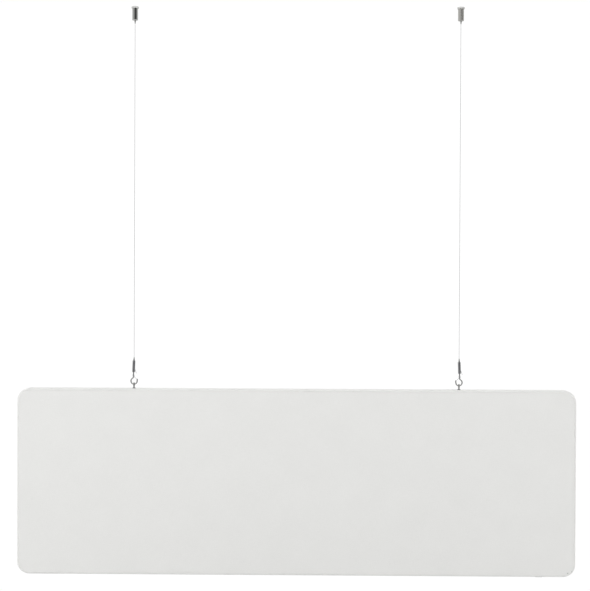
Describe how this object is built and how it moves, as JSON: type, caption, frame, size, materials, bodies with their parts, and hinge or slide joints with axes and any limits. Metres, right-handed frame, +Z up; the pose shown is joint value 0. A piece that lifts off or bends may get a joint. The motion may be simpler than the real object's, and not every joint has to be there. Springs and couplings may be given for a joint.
{
  "type": "hanging acoustic panel",
  "caption": "Fabric covered acoustic panel with rounded corners, hung from the ceiling on steel wires with adjustable grippers, hooks and eyes.",
  "frame": {"origin": "on the ceiling plane, midway between the two ceiling screws", "axes": "+X along the panel, +Y out of its back, +Z up; the front of the panel faces -Y"},
  "size_m": [1.8, 0.04, 1.8356],
  "materials": {
    "cover_fabric": "matte",
    "polyester_wadding": "matte",
    "polyester_slab": "matte",
    "pine": "matte",
    "beech": "satin",
    "chromed_brass": "polished",
    "nickelled_steel": "satin",
    "turned_steel": "satin",
    "steel_wire": "satin",
    "spring_steel": "satin",
    "ball_steel": "polished",
    "brass": "satin",
    "zip_nylon": "matte",
    "zip_tape_weave": "matte"
  },
  "bodies": {
    "ceiling_fixings": {"left_ceiling_base": "chromed_brass", "left_barrel": "chromed_brass", "left_upper_gripper": "turned_steel", "left_upper_cap": "turned_steel", "left_upper_spring": "spring_steel", "left_wire_end": "steel_wire", "right_ceiling_base": "chromed_brass", "right_barrel": "chromed_brass", "right_upper_gripper": "turned_steel", "right_upper_cap": "turned_steel", "right_upper_spring": "spring_steel", "right_wire_end": "steel_wire"},
    "wire_roots": {"left_wire_root": "steel_wire", "right_wire_root": "steel_wire"},
    "left_upper_plunger": {"left_upper_plunger": "chromed_brass", "left_upper_balls": "ball_steel"},
    "left_wire": {"left_wire": "steel_wire"},
    "left_gripper": {"left_gripper_body": "turned_steel", "left_gripper_tail": "turned_steel", "left_swivel_nut": "turned_steel", "left_lower_spring": "spring_steel", "left_wire_tail": "steel_wire"},
    "left_lower_plunger": {"left_lower_plunger": "chromed_brass", "left_lower_balls": "ball_steel"},
    "left_hook": {"left_hook": "nickelled_steel", "left_keeper_coil": "spring_steel"},
    "left_keeper": {"left_keeper": "spring_steel"},
    "right_upper_plunger": {"right_upper_plunger": "chromed_brass", "right_upper_balls": "ball_steel"},
    "right_wire": {"right_wire": "steel_wire"},
    "right_gripper": {"right_gripper_body": "turned_steel", "right_gripper_tail": "turned_steel", "right_swivel_nut": "turned_steel", "right_lower_spring": "spring_steel", "right_wire_tail": "steel_wire"},
    "right_lower_plunger": {"right_lower_plunger": "chromed_brass", "right_lower_balls": "ball_steel"},
    "right_hook": {"right_hook": "nickelled_steel", "right_keeper_coil": "spring_steel"},
    "right_keeper": {"right_keeper": "spring_steel"},
    "panel": {"left_eye_bolt": "nickelled_steel", "right_eye_bolt": "nickelled_steel", "left_insert": "brass", "right_insert": "brass", "top_rail": "pine", "bottom_rail": "pine", "end_stiles": "pine", "centre_stile": "pine", "corner_blocks": "pine", "frame_dowels": "beech", "core_slabs": "polyester_slab", "front_pad": "polyester_wadding", "back_pad": "polyester_wadding", "cover_front": "cover_fabric", "cover_back": "cover_fabric", "cover_edge": "cover_fabric", "zip_tape": "zip_tape_weave", "zip_chain": "zip_nylon"},
    "zip_slider": {"zip_slider": "nickelled_steel"},
    "zip_pull": {"zip_pull": "nickelled_steel"}
  },
  "joints": [
    {"name": "panel_swing", "type": "hinge", "parent": "ceiling_fixings", "child": "wire_roots", "pos_m": [0, 0, -0.0545], "axis": [1, 0, 0], "range_deg": [-20, 20]},
    {"name": "left_upper_release", "type": "slide", "parent": "ceiling_fixings", "child": "left_upper_plunger", "axis": [0, 0, 1], "range_m": [0, 0.003], "stiffness_N_per_m": 300, "springref_m": -0.003, "deforming": ["left_upper_spring"]},
    {"name": "sway", "type": "hinge", "parent": "wire_roots", "child": "left_wire", "pos_m": [-0.525, 0, -0.0575], "axis": [0, 1, 0], "range_deg": [-15, 15]},
    {"name": "left_gripper_level", "type": "hinge", "parent": "left_wire", "child": "left_gripper", "pos_m": [-0.525, 0, -1.1305], "axis": [0, 1, 0], "range_deg": [-15, 15]},
    {"name": "left_lower_release", "type": "slide", "parent": "left_gripper", "child": "left_lower_plunger", "axis": [-0.0336, 0, -0.9994], "range_m": [0, 0.003], "stiffness_N_per_m": 300, "springref_m": -0.003, "deforming": ["left_lower_spring"]},
    {"name": "left_hook_swivel", "type": "hinge", "parent": "left_gripper", "child": "left_hook", "pos_m": [-0.52663, 0, -1.17897], "axis": [0.0336, 0, 0.9994], "range_deg": [-12, 12]},
    {"name": "left_keeper_spring", "type": "hinge", "parent": "left_hook", "child": "left_keeper", "pos_m": [-0.52437, 0, -1.19366], "axis": [0, 1, 0], "range_deg": [0, 40], "stiffness_Nm_per_rad": 0.02, "springref_deg": -17.19},
    {"name": "right_upper_release", "type": "slide", "parent": "ceiling_fixings", "child": "right_upper_plunger", "axis": [0, 0, 1], "range_m": [0, 0.003], "stiffness_N_per_m": 300, "springref_m": -0.003, "deforming": ["right_upper_spring"]},
    {"name": "right_wire_sway", "type": "hinge", "parent": "wire_roots", "child": "right_wire", "pos_m": [0.525, 0, -0.0575], "axis": [0, 1, 0], "range_deg": [-15, 15]},
    {"name": "right_gripper_level", "type": "hinge", "parent": "right_wire", "child": "right_gripper", "pos_m": [0.525, 0, -1.1305], "axis": [0, 1, 0], "range_deg": [-15, 15]},
    {"name": "right_lower_release", "type": "slide", "parent": "right_gripper", "child": "right_lower_plunger", "axis": [0.0336, 0, -0.9994], "range_m": [0, 0.003], "stiffness_N_per_m": 300, "springref_m": -0.003, "deforming": ["right_lower_spring"]},
    {"name": "right_hook_swivel", "type": "hinge", "parent": "right_gripper", "child": "right_hook", "pos_m": [0.52663, 0, -1.17897], "axis": [-0.0336, 0, 0.9994], "range_deg": [-12, 12]},
    {"name": "right_keeper_spring", "type": "hinge", "parent": "right_hook", "child": "right_keeper", "pos_m": [0.52437, 0, -1.19366], "axis": [0, -1, 0], "range_deg": [0, 40], "stiffness_Nm_per_rad": 0.02, "springref_deg": -17.19},
    {"name": "panel_tilt", "type": "hinge", "parent": "left_gripper", "child": "panel", "pos_m": [0, 0, -1.22025], "axis": [1, 0, 0], "range_deg": [-45, 45]},
    {"name": "zip_run", "type": "slide", "parent": "panel", "child": "zip_slider", "axis": [-1, 0, 0], "range_m": [0, 1.578]},
    {"name": "zip_pull_turn", "type": "hinge", "parent": "zip_slider", "child": "zip_pull", "pos_m": [0.793, 0, -1.83435], "axis": [0, -1, 0], "range_deg": [0, 175]}
  ],
  "couplings": [
    {"joint": "right_wire_sway", "follows": "sway", "ratio": 1},
    {"joint": "left_gripper_level", "follows": "sway", "ratio": -1},
    {"joint": "right_gripper_level", "follows": "sway", "ratio": -1}
  ]
}
